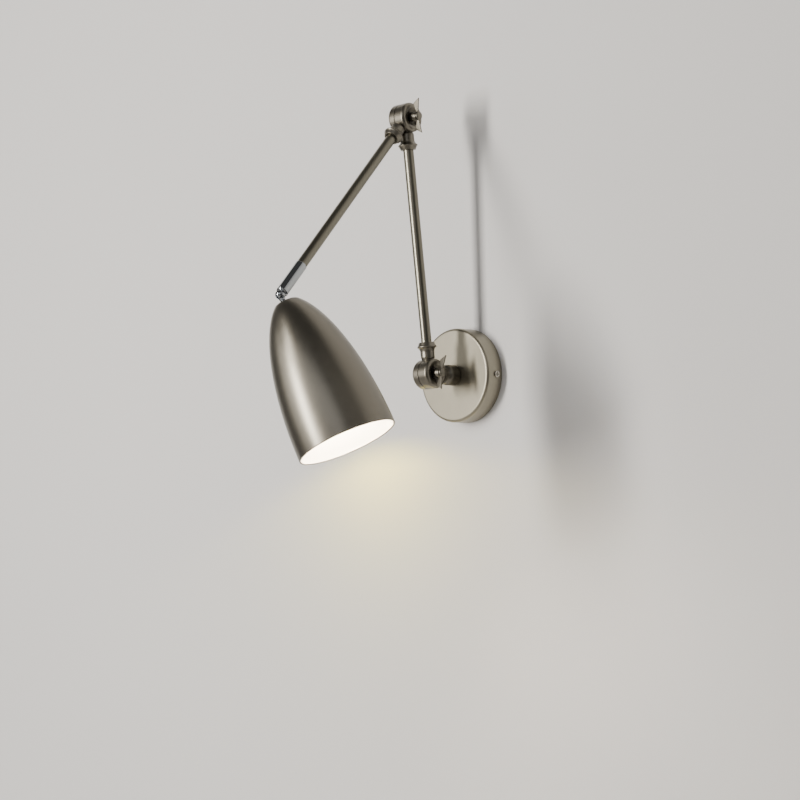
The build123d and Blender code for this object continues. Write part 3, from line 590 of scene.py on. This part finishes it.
# ---------------------------------------------------------------- lower arm
# A drawn steel tube, belt-brushed along its length and satin plated, glued into a cast hinge half
# at each end. Each casting's neck flares to a rounded lip around the tube.
LOWER_TILT = 4.1                # degrees from upright, away from the wall
TUBE_RADIUS = 5.5
TUBE_WALL = 1.0
TUBE_EDGE = 0.15
TUBE_START = 24.6               # from the hinge's axis
LOWER_TUBE_LENGTH = 222.4
ARM_LENGTH = 271.6              # from hinge to hinge
ELBOW_TWIST = 3.3
# The tubes' nickel below is a shaded copy, a little darker than NICKEL. It is painted shade that
# darkens the arms.
TUBE_NICKEL_PAINTED_SHADE = "#777468"         # fitted for the tubes alone, as NICKEL was for the rest
TUBE_SATIN = 0.3

lower_place = shifted(swivel_place, 0.0, "X", LOWER_TILT, -HINGE_FROM_WALL)
elbow_place = shifted(lower_place, ARM_LENGTH, "Z", ELBOW_TWIST)


def arm_tube(prefix, place, length):
    """The plain drawn tube of one arm, with lightly broken edges."""
    inner = TUBE_RADIUS - TUBE_WALL
    end = TUBE_START + length
    profile = rounded([(inner, end, 0.0), (inner, TUBE_START, TUBE_EDGE),
                       (TUBE_RADIUS, TUBE_START, TUBE_EDGE), (TUBE_RADIUS, end, TUBE_EDGE),
                       (inner, end, 0.0)], 4)
    made = lathe(prefix + "_arm_drawn_tube", place, profile, 64)
    # The tube's colour carries painted shade, being darker than the rest of the nickel.
    made.data.materials.append(satin_nickel("satin_nickel_brushed_" + prefix + "_tube", place,
                                            "long", TUBE_SATIN, TUBE_NICKEL_PAINTED_SHADE))
    stands_for(made, prefix + "_arm_tube")


dressed("lower_arm_knuckle", satin_nickel("satin_nickel_cast_lower_arm", lower_place, "cast"))
arm_tube("lower", lower_place, LOWER_TUBE_LENGTH)
dressed("elbow_lower_knuckle", satin_nickel("satin_nickel_cast_elbow", elbow_place, "cast"))

# ---------------------------------------------------------------- upper arm
# Made as the lower arm is, from the same drawn tube, but its far end carries the chrome sleeve
# instead of a hinge.
ELBOW_OPENING = 48.6            # degrees between the two arms
UPPER_TUBE_LENGTH = 225.4

upper_place = shifted(elbow_place, 0.0, "X", 180 - ELBOW_OPENING)
dressed("elbow_upper_knuckle", satin_nickel("satin_nickel_cast_upper_arm", upper_place, "cast"))
arm_tube("upper", upper_place, UPPER_TUBE_LENGTH)
clamp("elbow", upper_place)

# ---------------------------------------------------------------- chrome sleeve and swivel
# A turned brass sleeve, polished and chromed, screwed over the arm's end. The swivel's shank turns
# in it, and the slotted ball at its end holds the shade's stem on a cross pin.
SLEEVE_RADIUS = 6.1
SLEEVE_START = 238.0
SLEEVE_END = 278.6
SLEEVE_STEP = 258.6             # where the wide bore over the tube ends
SLEEVE_BORE = 4.7
SLEEVE_BORE_EDGE = 0.1
SLEEVE_EDGE = 0.4
CHROME = "#a6aaad"
WAVE_MM = 3.0
WAVE_DEPTH_MM = 0.03
WAVE_BUMP = 0.1


def polished_chrome(name):
    """Decorative chrome over polished brass: near mirror, with the faint waves of the polish."""
    made, tree, surface = new_material(name)
    wave = noise(tree, WAVE_MM, 2.0, node(tree, "ShaderNodeTexCoord").outputs["Object"])
    metal = node(tree, "ShaderNodeBsdfPrincipled", {"Metallic": 1.0},
                 Base__Color=wavering(tree, CHROME, 0.97, 1.02, wave),
                 Roughness=between(tree, 0.06, 0.12, wave),
                 Normal=embossed(tree, WAVE_BUMP, WAVE_DEPTH_MM, wave))
    tree.links.new(metal.outputs["BSDF"], surface)
    return made


chrome = polished_chrome("polished_chrome")
sleeve_profile = rounded([
    (SLEEVE_BORE, SLEEVE_END, 0.0), (SLEEVE_BORE, SLEEVE_STEP, SLEEVE_BORE_EDGE),
    (TUBE_RADIUS, SLEEVE_STEP, SLEEVE_BORE_EDGE), (TUBE_RADIUS, SLEEVE_START, SLEEVE_BORE_EDGE),
    (SLEEVE_RADIUS, SLEEVE_START, SLEEVE_EDGE), (SLEEVE_RADIUS, SLEEVE_END, SLEEVE_EDGE),
    (SLEEVE_BORE, SLEEVE_END, 0.0)], 6)
sleeve = stands_for(lathe("chrome_sleeve_turning", upper_place, sleeve_profile, 96),
                    "chrome_sleeve")
sleeve.data.materials.append(chrome)
for swivel_part in ("swivel_fork", "swivel_pin", "head_stem"):
    dressed(swivel_part, chrome)
dressed("swivel_nut", zinc)

# ---------------------------------------------------------------- shade
# A bullet spun from thin steel sheet: brushed and satin plated outside, white enamel inside, with
# a plain thin rim. A washer and a nut inside its flat top hold it to the stem.
BALL_FROM_ELBOW = 282.6
HEAD_TURN = 25.1
HEAD_TILT = 55.8
SHADE_OFFSET = 3.0              # the shade's axis runs this far beside the ball's centre
SHADE_TOP = 9.6
SHADE_MOUTH = 164.0
SHADE_NOSE = 5.6                # the outline's own tip lies this far above the flat top
SHADE_WALL = 1.1
SHADE_SATIN = 0.34
MOUTH_RADIUS = 50.74
POWER_ALONG = 2.08
POWER_ACROSS = 1.83
STEM_HOLE = 4.25
HEM_WIDTH = 2.0
HEM_HEIGHT = 2.4
HEM_FILLET = 0.5
HEM_RUN = 5.0                   # the inside leaves the outline this far from the mouth
RIM_ROUNDING = 0.7
RIM_RUN = 0.8                   # and the outside this far
TOP_RUN = 1.0                   # the outside joins the outline this far from the flat top
TOP_CORNER = 0.2                # how far the flat top's corner lies within the outline
TOP_ROUNDING = 1.0
INSIDE_TOP_RUN = 2.2
INSIDE_TOP_FLAT = 3.0
INSIDE_TOP_CORNER = 0.4
INSIDE_TOP_ROUNDING = 1.2
OUTLINE_POINTS = 72
OUTLINE_CROWDING = 1.5          # above 1 puts more of the points near the top
ENAMEL_CLEARANCE = 0.2
ENAMEL_FROM_MOUTH = 0.6

head_swivel_place = shifted(upper_place, BALL_FROM_ELBOW, "Z", HEAD_TURN)
head_place = shifted(head_swivel_place, 0.0, "X", HEAD_TILT)
shade_place = shifted(head_place, out=-SHADE_OFFSET)


def bullet(height, inset):
    """Points of the bullet outline at heights above the ball's centre, moved inwards by an inset.

    It is a stretched ellipse: (radius / mouth radius) to one power plus (distance from the
    mouth / full length) to another power is one.
    """
    full = SHADE_MOUTH - SHADE_TOP + SHADE_NOSE
    share = (SHADE_MOUTH - height) / full
    rest = 1 - share ** POWER_ALONG
    radius = MOUTH_RADIUS * rest ** (1 / POWER_ACROSS)
    slope = (MOUTH_RADIUS / POWER_ACROSS * rest ** (1 / POWER_ACROSS - 1) * POWER_ALONG
             * share ** (POWER_ALONG - 1) / full)
    length = np.sqrt(1 + slope ** 2)
    return np.stack([radius - inset / length, height + inset * slope / length], 1)


def shade_profile():
    """Inside from the stem's hole to the rim, round the rim, and outside back to the hole."""
    spread = np.linspace(0, 1, OUTLINE_POINTS) ** OUTLINE_CROWDING
    outside = bullet(SHADE_TOP + TOP_RUN + (SHADE_MOUTH - RIM_RUN - SHADE_TOP - TOP_RUN) * spread,
                     0.0)
    inside = bullet(SHADE_TOP + INSIDE_TOP_RUN
                    + (SHADE_MOUTH - HEM_RUN - SHADE_TOP - INSIDE_TOP_RUN) * spread, SHADE_WALL)
    ceiling = SHADE_TOP + SHADE_WALL
    inner = MOUTH_RADIUS - HEM_WIDTH
    top_radius = bullet(np.array([SHADE_TOP]), 0.0)[0, 0]
    top = rounded([(inside[0, 0] - INSIDE_TOP_FLAT, ceiling, 0.0),
                   (inside[0, 0] - INSIDE_TOP_CORNER, ceiling, INSIDE_TOP_ROUNDING),
                   (inside[0, 0], inside[0, 1], 0.0)], 6)[:-1]
    rim = rounded([(inside[-1, 0], inside[-1, 1], 0.0),
                   (inner + HEM_FILLET, SHADE_MOUTH - HEM_HEIGHT, HEM_FILLET),
                   (inner, SHADE_MOUTH, RIM_ROUNDING),
                   (MOUTH_RADIUS, SHADE_MOUTH, RIM_ROUNDING),
                   (outside[-1, 0], outside[-1, 1], 0.0)], 6)[1:-1]
    shoulder = rounded([(outside[0, 0], outside[0, 1], 0.0),
                        (top_radius - TOP_CORNER, SHADE_TOP, TOP_ROUNDING),
                        (STEM_HOLE, SHADE_TOP, 0.0)], 8)[1:]
    hole = np.array([[STEM_HOLE, ceiling]])
    return np.vstack([hole, top, inside, rim, outside[::-1], shoulder, hole])


shade = lathe("shade_spun_shell", shade_place, shade_profile()[::-1], 192)
shade.data.materials.append(
    satin_nickel("satin_nickel_spun_shade", shade_place, "round", SHADE_SATIN))
shade.data.materials.append(
    moulding("white_stove_enamel", "#f2efe8", roughness=0.35, grain_mm=1.6, depth_mm=0.03))
# The faces nearer the axis than the outline less half the wall are the enamelled inside.
centres = np.empty(len(shade.data.polygons) * 3)
shade.data.polygons.foreach_get("center", centres)
local = ((centres.reshape(-1, 3) - np.array(shade_place.to_translation()))
         @ np.array(shade_place.to_3x3()) / MM)
middle = bullet(np.clip(local[:, 2], SHADE_TOP, SHADE_MOUTH), SHADE_WALL / 2)[:, 0]
within = np.hypot(local[:, 0], local[:, 1]) < middle - ENAMEL_CLEARANCE
under_top = local[:, 2] > SHADE_TOP + SHADE_WALL * 0.6
above_rim = local[:, 2] < SHADE_MOUTH - ENAMEL_FROM_MOUTH
shade.data.polygons.foreach_set("material_index", (within & under_top & above_rim).astype(int))
stands_for(shade, "shade")
dressed("shade_washer", zinc)
dressed("shade_nut", zinc)

# ---------------------------------------------------------------- lampholder
# A small-screw lampholder moulded in white thermoset with a ribbed barrel, a brass screw shell and
# a sprung brass centre contact.
thermoset = moulding("moulded_white_thermoset", "#e9e6dc", roughness=0.4, grain_mm=0.6,
                     depth_mm=0.02)
dressed("lampholder_cap", thermoset)
dressed("lampholder_body", thermoset)
dressed("lampholder_shell", brass)
dressed("lampholder_contact", brass)

# ---------------------------------------------------------------- lamp bulb
# A lit bulb: a screw cap, a white moulded body and an opal globe that glows warm white. The globe
# glows a little warmer, and so a little dimmer, by the body.
BULB_BODY_END = 90.7
GLOW_FADE = 14                  # millimetres of globe that glow warmer, next to the body
GLOW = "#fff0da"
WARM_GLOW = "#ffc68a"
GLOW_STRENGTH = 150.0
OPAL = "#f6f1e6"
OPAL_IOR = 1.49
HAZE_MM = 8.0


def lit_opal(name, place):
    """Opal plastic with a light inside: it glows, and its skin is a soft gloss white."""
    made, tree, surface = new_material(name)
    own = local_place(tree, place)
    height = node(tree, "ShaderNodeSeparateXYZ", None, Vector=own).outputs["Z"]
    edge = node(tree, "ShaderNodeMapRange",
                {"From Min": BULB_BODY_END * MM, "From Max": (BULB_BODY_END + GLOW_FADE) * MM},
                Value=height)
    tint = node(tree, "ShaderNodeMix",
                {"data_type": "RGBA", 6: linear(WARM_GLOW), 7: linear(GLOW)},
                i0=edge.outputs["Result"])
    opal = node(tree, "ShaderNodeBsdfPrincipled",
                {"Base Color": linear(OPAL), "IOR": OPAL_IOR, "Emission Strength": GLOW_STRENGTH},
                Roughness=between(tree, 0.3, 0.42, noise(tree, HAZE_MM, 2.0, own)),
                Emission__Color=tint.outputs[2])
    tree.links.new(opal.outputs["BSDF"], surface)
    return made


dressed("bulb_cap", bare_metal("nickel_plated_screw_cap", "#c4c3bf", roughness=0.28,
                               blotch_mm=3.0))
dressed("bulb_body", moulding("moulded_white_bulb_body", "#efede8", roughness=0.3, grain_mm=0.7,
                              depth_mm=0.01))
dressed("bulb_globe", lit_opal("lit_opal_globe", shade_place))
